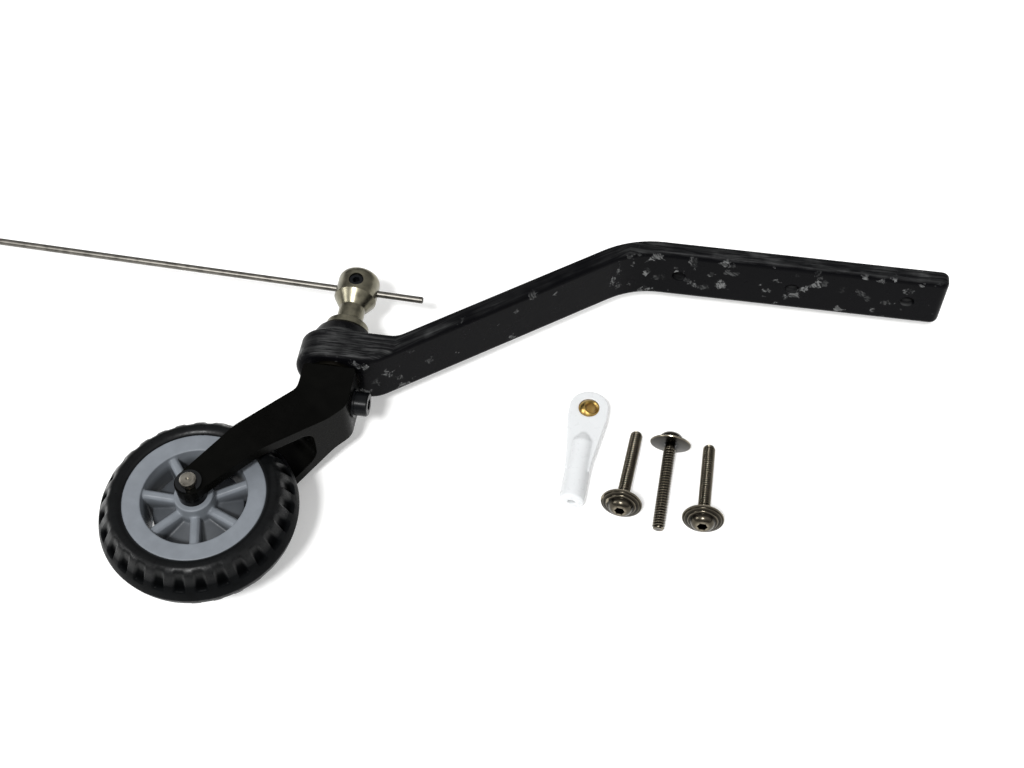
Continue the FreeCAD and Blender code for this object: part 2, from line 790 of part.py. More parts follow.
def make_parts():
    parts = {
        "arm": make_arm(),
        "upper_bushing": make_bushing(crown_top, 1),
        "lower_bushing": make_bushing(hub_bottom, -1),
        "upper_washer": make_thrust_washer(upper_washer_bottom),
        "lower_washer": make_thrust_washer(lower_washer_top - washer_thickness),
        "steering_post": make_steering_post(),
        "wire_set_screw": make_set_screw(),
        "tiller_wire": make_tiller_wire(),
        "fork": make_fork(),
        "fork_clamp_washer": make_clamp_washer(),
        "fork_clamp_screw": make_clamp_screw(),
        "axle": make_axle(),
        "axle_clip_upper": make_axle_clip(1),
        "axle_clip_lower": make_axle_clip(-1),
        "axle_spacer_upper": make_axle_spacer(1),
        "axle_spacer_lower": make_axle_spacer(-1),
        "wheel_hub": make_wheel_hub(),
        "wheel_tyre": make_wheel_tyre(),
        "ball_link_body": make_link_body(),
        "ball_link_ball": make_link_ball(),
        "mount_screw_1": make_mount_screw(screw_1_position, screw_1_heading),
        "mount_screw_2": make_mount_screw(screw_2_position, screw_2_heading),
        "mount_screw_3": make_mount_screw(screw_3_position, screw_3_heading),
    }
    return parts


def main():
    os.makedirs("parts", exist_ok=True)
    for name, shape in make_parts().items():
        shape.exportStep(f"parts/{name}.step")
        box = shape.BoundBox
        print(f"{name}: solids {len(shape.Solids)}, valid {shape.isValid()}, volume {shape.Volume:.1f}, "
              f"X {box.XMin:.1f} to {box.XMax:.1f}, Y {box.YMin:.1f} to {box.YMax:.1f}, "
              f"Z {box.ZMin:.1f} to {box.ZMax:.1f}")


if __name__ == "__main__":
    main()
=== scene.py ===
"""Looks of a steerable tailwheel for a large model aeroplane, lying on its side with its loose fittings.

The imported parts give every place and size. This file gives them their finishes, and makes the tyre, the
moulded wheel hub, the ball link and the loose screws again with the detail that the plain parts lack.
Sizes in the code are in millimetres. They are metres in the panel's properties and where a mesh is made.
"""
import math
from types import SimpleNamespace

import bpy
from bpy.props import FloatProperty, FloatVectorProperty, IntProperty, PointerProperty
from mathutils import Matrix, Vector


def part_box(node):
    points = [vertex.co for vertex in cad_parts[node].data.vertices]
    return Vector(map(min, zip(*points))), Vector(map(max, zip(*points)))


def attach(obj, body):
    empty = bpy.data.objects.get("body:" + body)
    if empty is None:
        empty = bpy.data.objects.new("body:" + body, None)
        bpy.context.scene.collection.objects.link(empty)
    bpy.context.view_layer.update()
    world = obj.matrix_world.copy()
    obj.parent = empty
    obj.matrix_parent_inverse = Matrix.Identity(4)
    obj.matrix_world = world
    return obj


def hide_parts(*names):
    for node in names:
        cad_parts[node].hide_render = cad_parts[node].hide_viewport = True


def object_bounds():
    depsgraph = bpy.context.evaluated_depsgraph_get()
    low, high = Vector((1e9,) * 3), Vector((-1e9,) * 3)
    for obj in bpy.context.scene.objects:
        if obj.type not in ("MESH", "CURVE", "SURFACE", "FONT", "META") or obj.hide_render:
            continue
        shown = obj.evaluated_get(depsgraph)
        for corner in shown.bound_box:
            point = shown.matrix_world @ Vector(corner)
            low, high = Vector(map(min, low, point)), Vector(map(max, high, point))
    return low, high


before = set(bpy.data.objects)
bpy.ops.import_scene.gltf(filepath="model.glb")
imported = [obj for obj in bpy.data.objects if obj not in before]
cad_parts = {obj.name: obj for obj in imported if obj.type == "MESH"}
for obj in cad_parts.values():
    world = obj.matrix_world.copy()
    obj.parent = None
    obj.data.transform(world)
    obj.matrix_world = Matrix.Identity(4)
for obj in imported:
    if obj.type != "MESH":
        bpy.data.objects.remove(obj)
cad_box = [list(corner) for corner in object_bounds()]

bl_info = {
    "name": "Tailwheel assembly",
    "version": (1, 0, 0),
    "blender": (4, 5, 0),
    "location": "3D View > Sidebar > Tailwheel",
    "description": "Builds the finishes and fine detail of a steerable tailwheel",
    "category": "Object",
}

MM = 0.001

# Where each loose screw lies: X and Y of its head in mm, and the way its head points in degrees.
SCREW_PLACES = ((-33.8, -62.8, -94.0), (-24.4, -46.0, 88.3), (-15.45, -64.1, -90.2))

# The camera stands in front of the part and looks down on it. Its place, lens and sensor are in mm, and
# its angles in degrees.
CAMERA_PLACE = (-28.496, -229.844, 280.3)
CAMERA_HEADING = 10.0
CAMERA_PITCH = 34.4167
CAMERA_ROLL = -1.446
CAMERA_LENS = 52.24
CAMERA_SENSOR = 36.0

# Name, direction towards the light, strength and spread in degrees.
LIGHTS = (
    ("key_light", (-0.082, -0.536, 0.84), 2.5, 9),
    ("left_fill", (-0.8, -0.3, 0.52), 0.7, 18),
    ("right_fill", (0.75, -0.25, 0.6), 0.15, 50),
)


def linear(hex_colour):
    """Linear RGBA of an sRGB hex colour such as #1c1c1e."""
    channels = [int(hex_colour[i:i + 2], 16) / 255 for i in (1, 3, 5)]
    return [c / 12.92 if c <= 0.04045 else ((c + 0.055) / 1.055) ** 2.4 for c in channels] + [1.0]


def colour_property(name, description, hex_colour):
    return FloatVectorProperty(name=name, description=description, subtype="COLOR", size=4,
                               min=0, max=1, default=linear(hex_colour))


def length_property(name, description, millimetres):
    return FloatProperty(name=name, description=description, unit="LENGTH", precision=5,
                         default=millimetres * MM, min=0)


def share_property(name, description, share, lowest, highest):
    return FloatProperty(name=name, description=description, subtype="FACTOR",
                         default=share, min=lowest, max=highest)


def in_millimetres(group):
    """A property group's values by name, with its lengths in millimetres."""
    values = {}
    for name in type(group).__annotations__:
        value = getattr(group, name)
        values[name] = value / MM if group.bl_rna.properties[name].unit == "LENGTH" else value
    return SimpleNamespace(**values)


class TailwheelFinishes(bpy.types.PropertyGroup):
    """Colours of the finishes."""
    carbon: colour_property("Carbon", "Resin and fibre of the moulded arm", "#070709")
    carbon_flake: colour_property("Carbon flakes", "Chopped tow that catches the light", "#757676")
    anodised: colour_property("Fork", "Black anodised aluminium of the fork", "#070706")
    steel: colour_property("Post", "Turned stainless steel of the post and washers", "#827e6d")
    axle: colour_property("Axle", "Ground stainless steel of the axle", "#99948a")
    wire: colour_property("Wire", "Drawn spring steel of the tiller wire", "#74716b")
    bushing: colour_property("Bushings", "Oiled sintered iron of the bushings", "#26241f")
    black_steel: colour_property("Black steel", "Black oxide on the small fasteners", "#0d0e10")
    spacer: colour_property("Spacers", "Black acetal of the axle's spacers", "#040405")
    hub: colour_property("Hub", "Grey nylon of the wheel hub", "#757a80")
    rubber: colour_property("Tyre", "Moulded rubber of the tyre", "#0b0c0d")
    link: colour_property("Ball link", "White nylon of the ball link", "#d6d8d9")
    brass: colour_property("Ball", "Turned brass of the ball", "#c9a862")
    screw: colour_property("Screws", "Bright stainless steel of the loose screws", "#2c2923")
    floor: colour_property("Floor", "Matt white card that the parts lie on", "#f2f2f1")


class TyreSizes(bpy.types.PropertyGroup):
    """Sizes of the tyre and its tread."""
    lug_count: IntProperty(name="Lugs", description="Lugs round each shoulder", default=28, min=3)
    first_groove: FloatProperty(name="First groove", description="Angle of the first groove from +X",
                                subtype="ANGLE", default=math.radians(5.6))
    groove_share: share_property("Groove share", "Share of the pitch that a groove takes",
                                 0.46, 0.05, 0.95)
    wall_share: share_property("Wall share", "Share of the pitch that a groove's wall takes",
                               0.2, 0.02, 0.4)
    groove_depth: length_property("Groove depth", "Depth of a groove where it meets the middle rib", 0.9)
    groove_lead: length_property("Groove lead", "How far inside the shoulder a groove starts", 1.4)
    groove_reach: length_property("Groove reach", "How far outside the shoulder a groove is full", 2.4)
    rib_half_width: length_property("Rib half width", "Smooth band from the middle plane", 2.3)
    rib_wall: length_property("Rib wall", "Width over which a groove rises to the rib", 0.8)
    tread_bulge: length_property("Tread bulge", "How far the tread stands out of a straight line", 0.4)
    bead_radius: length_property("Bead radius", "Where the sidewall leaves the rim", 15.45)
    bead_height: length_property("Bead height", "Height of the bead over the middle plane", 6.3)
    wall_radius: length_property("Wall radius", "Where the sidewall is widest", 17.1)
    shoulder_radius: length_property("Shoulder radius", "Where the sidewall turns into the tread", 19.0)
    shoulder_height: length_property("Shoulder height", "Height of the shoulder over the middle plane", 5.9)
    foot_height: length_property("Foot height", "Height of the bead's foot over the middle plane", 5.1)
    seat_radius: length_property("Seat radius", "Inside of the tyre, on the hub", 14.1)
    seat_half_width: length_property("Seat half width", "Half the width of the seat on the hub", 4.4)


class ScrewSizes(bpy.types.PropertyGroup):
    """Sizes of a loose flanged screw."""
    thread_radius: length_property("Thread radius", "Outside radius of the thread", 1.425)
    thread_pitch: length_property("Thread pitch", "Distance from one crest to the next", 0.635)
    thread_depth: length_property("Thread depth", "Crest to root", 0.3)
    length: length_property("Length", "Under the flange to the tip", 20.9)
    flange_radius: length_property("Flange radius", "Radius of the flange", 4.7)
    socket: length_property("Socket", "Hexagon across its flats", 2.0)


def add_node(tree, kind, inputs=None, stops=(), **settings):
    """Add a node with its settings and colour stops, and set or link its inputs."""
    node = tree.nodes.new(kind)
    for name, value in settings.items():
        setattr(node, name, value)
    for _ in range(len(stops) - 2):
        node.color_ramp.elements.new(0.5)
    for index, (position, colour) in enumerate(stops):
        node.color_ramp.elements[index].position = position
        node.color_ramp.elements[index].color = colour
    for name, value in (inputs or {}).items():
        if isinstance(value, bpy.types.NodeSocket):
            tree.links.new(value, node.inputs[name])
        else:
            node.inputs[name].default_value = value
    return node


def link_input(tree, shader, name, socket):
    tree.links.new(socket, shader.inputs[name])


def grey(level):
    return (level, level, level, 1.0)


def scaled(colour, share):
    """Linear colour made darker or lighter."""
    return [min(1.0, c * share) for c in colour[:3]] + [1.0]


def start_material(name, **inputs):
    """Material with one Principled shader. Returns the material, its tree, the shader and places in mm."""
    material = bpy.data.materials.new(name)
    material.use_nodes = True
    tree = material.node_tree
    shader = tree.nodes["Principled BSDF"]
    for key, value in inputs.items():
        shader.inputs[key.replace("_", " ")].default_value = value
    coords = add_node(tree, "ShaderNodeTexCoord")
    places = add_node(tree, "ShaderNodeVectorMath", {0: coords.outputs["Object"], 1: (1000, 1000, 1000)},
                      operation="MULTIPLY")
    return material, tree, shader, places.outputs[0]


def shade_colour(tree, shader, share):
    """Multiply the colour that the shader already has by a share from 0 to 1, which paints shade on it."""
    tone = add_node(tree, "ShaderNodeCombineColor", {name: share for name in ("Red", "Green", "Blue")})
    plain = shader.inputs["Base Color"].links[0].from_socket
    shaded = add_node(tree, "ShaderNodeMix", {0: 1.0, 6: plain, 7: tone.outputs[0]},
                      data_type="RGBA", blend_type="MULTIPLY")
    link_input(tree, shader, "Base Color", shaded.outputs[2])


def height_off_middle(tree):
    """Distance from the wheel's middle plane, in metres."""
    coords = add_node(tree, "ShaderNodeTexCoord")
    at = add_node(tree, "ShaderNodeSeparateXYZ", {0: coords.outputs["Object"]})
    return add_node(tree, "ShaderNodeMath", {0: at.outputs["Z"]}, operation="ABSOLUTE").outputs[0]


def carbon_shards(tree, places, along, side):
    """How far each place lies on a bright shard of tow, from 0 to 1."""
    # Shards of tow are 1 to 3 mm across, with torn ends.
    torn = add_node(tree, "ShaderNodeTexNoise", {"Vector": places, "Scale": 1.1, "Detail": 4.0})
    shifted = add_node(tree, "ShaderNodeVectorMath", {0: torn.outputs["Color"], 1: (2.6, 2.6, 2.6)},
                       operation="MULTIPLY")
    moved = add_node(tree, "ShaderNodeVectorMath", {0: places, 1: shifted.outputs[0]}, operation="ADD")
    shards = add_node(tree, "ShaderNodeTexVoronoi", {"Vector": moved.outputs[0], "Scale": 0.46})
    borders = add_node(tree, "ShaderNodeTexVoronoi", {"Vector": moved.outputs[0], "Scale": 0.46},
                       feature="DISTANCE_TO_EDGE")
    chance = add_node(tree, "ShaderNodeSeparateColor", {"Color": shards.outputs["Color"]})
    # They lie thick past the bend, thinner along the strap and at the hub, and hardly show on the slope.
    bare = add_node(tree, "ShaderNodeValToRGB", {0: along},
                    stops=[(0.0, grey(0.83)), (0.17, grey(0.83)), (0.22, grey(0.97)), (0.44, grey(0.97)),
                           (0.48, grey(0.66)), (0.57, grey(0.74)), (0.65, grey(0.88)), (1.0, grey(0.88))])
    # A shard is bright where its own chance is over that share.
    spare = add_node(tree, "ShaderNodeMath", {0: chance.outputs[0], 1: bare.outputs["Color"]},
                     operation="SUBTRACT")
    chosen = add_node(tree, "ShaderNodeMath", {0: spare.outputs[0], 1: 60.0}, operation="MULTIPLY",
                      use_clamp=True)
    inside = add_node(tree, "ShaderNodeMapRange",
                      {"Value": borders.outputs["Distance"], "From Min": 0.05, "From Max": 0.11})
    # Each shard's filaments run their own way. Real ones are too fine to show, so these are drawn
    # about 0.4 mm apart.
    angle = add_node(tree, "ShaderNodeMath", {0: chance.outputs[1], 1: 3.14}, operation="MULTIPLY")
    turned = add_node(tree, "ShaderNodeVectorRotate",
                      {"Vector": places, "Angle": angle.outputs[0], "Axis": (0.2, 0.5, 0.8)})
    stretched = add_node(tree, "ShaderNodeVectorMath", {0: turned.outputs[0], 1: (0.3, 2.4, 1.0)},
                         operation="MULTIPLY")
    filaments = add_node(tree, "ShaderNodeTexNoise",
                         {"Vector": stretched.outputs[0], "Scale": 1.0, "Detail": 3.0})
    streaks = add_node(tree, "ShaderNodeMapRange", {"Value": filaments.outputs["Fac"], "From Min": 0.4,
                                                    "From Max": 0.62, "To Min": 0.12})
    lit = add_node(tree, "ShaderNodeMapRange", {"Value": chance.outputs[2], "To Min": 0.2})
    # On the moulding's upper side the tow lies edge on and hardly shows.
    front = add_node(tree, "ShaderNodeMapRange", {"Value": side, "To Min": 1.0, "To Max": 0.12})
    shard = chosen.outputs[0]
    for share in (inside, streaks, lit, front):
        shard = add_node(tree, "ShaderNodeMath", {0: shard, 1: share.outputs[0]},
                         operation="MULTIPLY").outputs[0]
    return shard


def carbon_layers(tree, places, along, side):
    """How bright the pressed layers' edges are on the moulding's upper side, from 0 to 1."""
    at = add_node(tree, "ShaderNodeSeparateXYZ", {0: places})
    # The layers follow the bend: they lie at Y = -36.4 mm at the hub and at 0 along the strap.
    layer_level = add_node(tree, "ShaderNodeMapRange", {"Value": at.outputs["X"], "From Min": -88.9,
                                                        "From Max": -39.2, "To Min": -36.4, "To Max": 0.0})
    across = add_node(tree, "ShaderNodeMath", {0: at.outputs["Y"], 1: layer_level.outputs[0]},
                      operation="SUBTRACT")
    layer_place = add_node(tree, "ShaderNodeCombineXYZ", {"X": at.outputs["X"], "Y": across.outputs[0]})
    drawn = add_node(tree, "ShaderNodeVectorMath", {0: layer_place.outputs[0], 1: (0.13, 1.7, 1.0)},
                     operation="MULTIPLY")
    layers = add_node(tree, "ShaderNodeTexNoise", {"Vector": drawn.outputs[0], "Scale": 1.0, "Detail": 6.0,
                                                   "Roughness": 0.62, "Distortion": 0.6})
    layers = add_node(tree, "ShaderNodeMapRange", {"Value": layers.outputs["Fac"], "From Min": 0.42,
                                                   "From Max": 0.85, "To Min": 0.06})
    shown = add_node(tree, "ShaderNodeValToRGB", {0: along},
                     stops=[(0.0, grey(0.55)), (0.17, grey(0.6)), (0.25, grey(0.14)), (0.42, grey(0.08)),
                            (0.5, grey(0.35)), (1.0, grey(0.6))])
    patchy = add_node(tree, "ShaderNodeTexNoise", {"Vector": places, "Scale": 0.16, "Detail": 3.0})
    patchy = add_node(tree, "ShaderNodeMapRange", {"Value": patchy.outputs["Fac"], "From Min": 0.42,
                                                   "From Max": 0.6, "To Min": 0.35})
    # The raised crown round the post is plain.
    below_crown = add_node(tree, "ShaderNodeMapRange", {"Value": across.outputs[0], "From Min": 0.9,
                                                        "From Max": 0.3})
    layer = layers.outputs[0]
    for share in (shown.outputs["Color"], patchy.outputs[0], below_crown.outputs[0], side):
        layer = add_node(tree, "ShaderNodeMath", {0: layer, 1: share}, operation="MULTIPLY").outputs[0]
    return layer


def forged_carbon_moulded():
    """Chopped carbon tow pressed in resin: near black, with short shards that catch the light.

    The eye sees grey flecks with a grain of their own on the flat faces, and broken streaks of the pressed
    layers on the upper side. Little of the floor shows in the dark resin.
    """
    finishes = bpy.context.scene.tailwheel_finishes
    material, tree, shader, places = start_material(
        "forged_carbon_moulded", Specular_IOR_Level=0.03, IOR=1.5)
    at = add_node(tree, "ShaderNodeSeparateXYZ", {0: places})
    # From 0 a little past the hub to 1 a little past the strap's end.
    along = add_node(tree, "ShaderNodeMapRange", {"Value": at.outputs["X"], "From Min": -115.0,
                                                  "From Max": 45.0})
    normal = add_node(tree, "ShaderNodeNewGeometry")
    normal = add_node(tree, "ShaderNodeSeparateXYZ", {0: normal.outputs["Normal"]})
    side = add_node(tree, "ShaderNodeMapRange", {"Value": normal.outputs["Z"], "From Min": 0.45,
                                                 "From Max": 0.8})
    shard = carbon_shards(tree, places, along.outputs[0], side.outputs[0])
    layer = carbon_layers(tree, places, along.outputs[0], side.outputs[0])
    amount = add_node(tree, "ShaderNodeMath", {0: shard, 1: layer}, operation="MAXIMUM")
    colour = add_node(tree, "ShaderNodeMix", {0: amount.outputs[0], 6: finishes.carbon,
                                              7: finishes.carbon_flake}, data_type="RGBA")
    link_input(tree, shader, "Base Color", colour.outputs[2])
    sheen = add_node(tree, "ShaderNodeTexNoise", {"Vector": places, "Scale": 0.25, "Detail": 5.0})
    gloss = add_node(tree, "ShaderNodeMapRange",
                     {"Value": sheen.outputs["Fac"], "To Min": 0.18, "To Max": 0.42})
    link_input(tree, shader, "Roughness", gloss.outputs[0])
    # The moulded skin waves by a few hundredths of a millimetre.
    waves = add_node(tree, "ShaderNodeTexNoise", {"Vector": places, "Scale": 0.6, "Detail": 2.0})
    bump = add_node(tree, "ShaderNodeBump", {"Height": waves.outputs["Fac"], "Strength": 0.25,
                                             "Distance": 0.08 * MM})
    link_input(tree, shader, "Normal", bump.outputs[0])
    return material


def worked_metal(name, colour, roughness, marks, depth=0.01):
    """Bare metal with the fine lines that turning, rolling or drawing leaves, and faint stains of oil.

    The marks are lines per millimetre along X, Y and Z: high along a turned part's axis, and high
    across a drawn wire. Their depth is in millimetres.
    """
    material, tree, shader, places = start_material(
        name, Base_Color=colour, Metallic=1.0, Roughness=roughness)
    drawn = add_node(tree, "ShaderNodeVectorMath", {0: places, 1: marks}, operation="MULTIPLY")
    lines = add_node(tree, "ShaderNodeTexNoise", {"Vector": drawn.outputs[0], "Scale": 1.0, "Detail": 3.0})
    bump = add_node(tree, "ShaderNodeBump", {"Height": lines.outputs["Fac"], "Strength": 0.3,
                                             "Distance": depth * MM})
    link_input(tree, shader, "Normal", bump.outputs[0])
    stains = add_node(tree, "ShaderNodeTexNoise", {"Vector": places, "Scale": 0.5, "Detail": 5.0})
    wear_and_painted_light = add_node(tree, "ShaderNodeMapRange", {"Value": stains.outputs["Fac"],
                                                 "To Min": roughness - 0.08, "To Max": roughness + 0.1})
    link_input(tree, shader, "Roughness", wear_and_painted_light.outputs[0])
    stained = add_node(tree, "ShaderNodeValToRGB", {0: stains.outputs["Fac"]},
                       stops=[(0.36, scaled(colour, 0.62)), (0.6, colour)])
    link_input(tree, shader, "Base Color", stained.outputs["Color"])
    return material


def stainless_steel_cold_headed(colour):
    """Cold-headed steel with a rolled thread: painted shade keeps its roots dark, and a painted highlight
    lightens its crests.
    """
    material = worked_metal("stainless_steel_cold_headed", colour, roughness=0.24, marks=(0.3, 0.3, 0.3))
    tree = material.node_tree
    form = add_node(tree, "ShaderNodeNewGeometry")
    # Painted shade and highlight: the colour falls to 0.03 of itself in the thread's roots and rises
    # tenfold on its crests.
    wear_and_painted_light = add_node(tree, "ShaderNodeValToRGB", {0: form.outputs["Pointiness"]},
                    stops=[(0.46, scaled(colour, 0.03)), (0.49, colour), (0.515, colour),
                           (0.56, scaled(colour, 10.0))])
    link_input(tree, tree.nodes["Principled BSDF"], "Base Color", wear_and_painted_light.outputs["Color"])
    return material


def moulded_skin(name, colour, roughness, specular, speckle=0.06, grain=3.0, depth=0.02, patches=0.04,
                 **inputs):
    """Moulded, anodised or oxidised skin: even colour with a faint cloud, a fine grain and duller patches.

    The grain is in grains per millimetre, coarser than the real one so that it shows, and its depth is in
    millimetres. Speckle is the share by which the colour wanders, and patches is how much the roughness
    does.
    """
    material, tree, shader, places = start_material(
        name, Roughness=roughness, Specular_IOR_Level=specular, **inputs)
    cloud = add_node(tree, "ShaderNodeTexNoise", {"Vector": places, "Scale": 0.35, "Detail": 4.0})
    clouded = add_node(tree, "ShaderNodeValToRGB", {0: cloud.outputs["Fac"]},
                       stops=[(0.35, scaled(colour, 1 - speckle)), (0.65, scaled(colour, 1 + speckle))])
    link_input(tree, shader, "Base Color", clouded.outputs["Color"])
    skin = add_node(tree, "ShaderNodeTexNoise", {"Vector": places, "Scale": grain, "Detail": 3.0})
    bump = add_node(tree, "ShaderNodeBump", {"Height": skin.outputs["Fac"], "Strength": 0.4,
                                             "Distance": depth * MM})
    link_input(tree, shader, "Normal", bump.outputs[0])
    handled = add_node(tree, "ShaderNodeTexNoise", {"Vector": places, "Scale": 0.9, "Detail": 5.0})
    dulled = add_node(tree, "ShaderNodeMapRange", {"Value": handled.outputs["Fac"], "From Min": 0.35,
                                                   "From Max": 0.65, "To Min": roughness - patches,
                                                   "To Max": roughness + patches})
    link_input(tree, shader, "Roughness", dulled.outputs[0])
    return material


def aluminium_black_anodised(colour):
    """Blasted and black anodised aluminium: a fine skin that spreads the highlights, and soft edges."""
    material = moulded_skin("aluminium_black_anodised", colour, roughness=0.3, specular=0.03, speckle=0.15,
                            grain=4.0, depth=0.01)
    tree = material.node_tree
    # Deburred edges have a radius of about 0.3 mm, made in the shading only.
    edges = add_node(tree, "ShaderNodeBevel", {"Radius": 0.3 * MM}, samples=6)
    grain = tree.nodes["Principled BSDF"].inputs["Normal"].links[0].from_node
    tree.links.new(edges.outputs[0], grain.inputs["Normal"])
    return material


def nylon_grey_moulded(colour):
    """Moulded grey nylon: satin, with painted shade that darkens the thin web deep between the spokes and
    leaves the rim lighter.
    """
    material = moulded_skin("nylon_grey_moulded", colour, roughness=0.42, specular=0.3, grain=1.5)
    tree = material.node_tree
    # The web is within 2.5 mm of the wheel's middle plane, and the spokes' edges lie 4.5 mm off it.
    # Painted shade: towards the web the colour falls to 0.36 of itself, where the spokes and the rim shade
    # it.
    deep = add_node(tree, "ShaderNodeMapRange", {"Value": height_off_middle(tree), "From Min": 2.2 * MM,
                                                 "From Max": 4.4 * MM, "To Min": 0.36})
    shade_colour(tree, tree.nodes["Principled BSDF"], deep.outputs[0])
    return material


def rubber_moulded(colour):
    """Moulded rubber: glossy from the mould on its shoulders, dull on the tread and down in the grooves,
    where painted shade darkens it.
    """
    material = moulded_skin("rubber_moulded", colour, roughness=0.34, specular=0.2, speckle=0.2, grain=1.1,
                            depth=0.08, patches=0.07)
    tree = material.node_tree
    shader = tree.nodes["Principled BSDF"]
    centimetre = add_node(tree, "ShaderNodeMapRange", {"Value": height_off_middle(tree),
                                                       "From Max": 10 * MM})
    # The mould's polish lasts on the shoulder, about 5 to 6 mm off the wheel's middle plane.
    shoulder = add_node(tree, "ShaderNodeValToRGB", {0: centimetre.outputs[0]},
                        stops=[(0.36, grey(0.02)), (0.53, grey(0.36)), (0.62, grey(0.36)),
                               (0.69, grey(0.12))])
    # The tread's points carry how deep in a groove they are, from 0 to 1. Deep down it is dull, and painted
    # shade darkens it.
    groove = add_node(tree, "ShaderNodeAttribute", attribute_name="groove")
    polished = add_node(tree, "ShaderNodeMapRange", {"Value": groove.outputs["Fac"], "From Max": 0.6,
                                                     "To Min": 1.0, "To Max": 0.04})
    shine = add_node(tree, "ShaderNodeMath", {0: shoulder.outputs["Color"], 1: polished.outputs[0]},
                     operation="MULTIPLY")
    link_input(tree, shader, "Specular IOR Level", shine.outputs[0])
    # Painted shade: at the bottom of a groove the colour falls to 0.3 of itself.
    groove_painted_shade = add_node(tree, "ShaderNodeMapRange", {"Value": groove.outputs["Fac"], "To Min": 1.0,
                                                       "To Max": 0.3})
    shade_colour(tree, shader, groove_painted_shade.outputs[0])
    return material


def finish_node(name, material):
    """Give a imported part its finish."""
    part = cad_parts[name]
    part.data.materials.clear()
    part.data.materials.append(material)


def settle(piece, body, replaced):
    """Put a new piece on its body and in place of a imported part."""
    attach(piece, body)
    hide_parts(replaced)
    return piece


def make_piece(name, points, faces, material, body, replaced, place, sharp):
    """Mesh piece from points in millimetres, shaded smooth up to a sharp angle in degrees."""
    mesh = bpy.data.meshes.new(name)
    mesh.from_pydata([(place @ Vector(p)) * MM for p in points], [], faces)
    mesh.validate()
    mesh.shade_smooth()
    mesh.set_sharp_from_angle(angle=math.radians(sharp))
    mesh.materials.append(material)
    piece = bpy.data.objects.new(name, mesh)
    bpy.context.scene.collection.objects.link(piece)
    return settle(piece, body, replaced)


def skin_rings(rings, closed_loop=False):
    """Points and faces of a surface through rings of as many points each, capped unless it is a loop."""
    count = len(rings[0])
    points = [point for loop in rings for point in loop]
    faces = []
    pairs = list(zip(range(len(rings) - 1), range(1, len(rings))))
    if closed_loop:
        pairs.append((len(rings) - 1, 0))
    for low, high in pairs:
        for index in range(count):
            following = (index + 1) % count
            faces.append((low * count + index, low * count + following,
                          high * count + following, high * count + index))
    if not closed_loop:
        faces.append(tuple(reversed(range(count))))
        last = (len(rings) - 1) * count
        faces.append(tuple(range(last, last + count)))
    return points, faces


def moulded_copy(name, node, voxel, rounds, material, body):
    """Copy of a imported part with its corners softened, as a moulding has. The voxel is in millimetres."""
    draft = bpy.data.objects.new(name + "_draft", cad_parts[node].data.copy())
    bpy.context.scene.collection.objects.link(draft)
    remesh = draft.modifiers.new("remesh", "REMESH")
    remesh.mode = "VOXEL"
    remesh.voxel_size = voxel * MM
    soften = draft.modifiers.new("soften", "SMOOTH")
    soften.factor = 0.5
    soften.iterations = rounds
    graph = bpy.context.evaluated_depsgraph_get()
    softened = bpy.data.meshes.new_from_object(draft.evaluated_get(graph))
    softened.name = name
    bpy.data.objects.remove(draft)
    softened.shade_smooth()
    softened.materials.clear()
    softened.materials.append(material)
    piece = bpy.data.objects.new(name, softened)
    bpy.context.scene.collection.objects.link(piece)
    return settle(piece, body, node)


def arc_through(start, middle, end, count):
    """Points on the circle through three (radius, height) points."""
    (ax, ay), (bx, by), (cx, cy) = start, middle, end
    d = 2 * (ax * (by - cy) + bx * (cy - ay) + cx * (ay - by))
    ux = ((ax * ax + ay * ay) * (by - cy) + (bx * bx + by * by) * (cy - ay)
          + (cx * cx + cy * cy) * (ay - by)) / d
    uy = ((ax * ax + ay * ay) * (cx - bx) + (bx * bx + by * by) * (ax - cx)
          + (cx * cx + cy * cy) * (bx - ax)) / d
    radius = math.hypot(ax - ux, ay - uy)
    first = math.atan2(ay - uy, ax - ux)
    last = math.atan2(cy - uy, cx - ux)
    step = (last - first + math.pi) % (2 * math.pi) - math.pi
    return [(ux + radius * math.cos(first + step * i / (count - 1)),
             uy + radius * math.sin(first + step * i / (count - 1))) for i in range(count)]


def smooth_step(value, low, high):
    share = min(1.0, max(0.0, (value - low) / (high - low)))
    return share * share * (3 - 2 * share)


def tyre_outer_section(sizes):
    """(radius, height) points over the outside, from the upper bead to the lower one."""
    low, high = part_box("wheel_tyre")
    crown = (high.x - low.x) / 2 / MM
    half = (high.z - low.z) / 2 / MM
    bead = (sizes.bead_radius, sizes.bead_height)
    shoulder = (sizes.shoulder_radius, sizes.shoulder_height)
    wall = arc_through(bead, (sizes.wall_radius, half), shoulder, 16)
    middle = ((crown + sizes.shoulder_radius) / 2 + sizes.tread_bulge, sizes.shoulder_height / 2)
    tread = arc_through(shoulder, middle, (crown, 0), 26)
    upper = wall + tread[1:]
    # The shoulder is rounded off, from 6 points before it to 8 points after it, in 10 rounds.
    start = len(wall) - 7
    stop = len(wall) + 8
    for _ in range(10):
        upper[start:stop] = [tuple((a + 2 * b + c) / 4 for a, b, c in zip(*upper[i - 1:i + 2]))
                             for i in range(start, stop)]
    return upper + [(radius, -height) for radius, height in reversed(upper[:-1])]


def lug_stations(sizes):
    """Places round one lug and groove, as shares of the pitch, close together on the groove's walls."""
    wall = sizes.wall_share
    wall_middle = 0.5 - sizes.groove_share / 2
    floor_share = 1 - 2 * wall_middle - wall
    stations = [wall_middle * share for share in (0.0, 0.35, 0.7)]
    stations += [wall_middle + wall * (share - 0.5) for share in (0.0, 0.25, 0.5, 0.75, 1.0)]
    stations += [wall_middle + wall / 2 + floor_share * share for share in (0.25, 0.5)]
    return stations + [1 - share for share in reversed(stations[1:-1])]


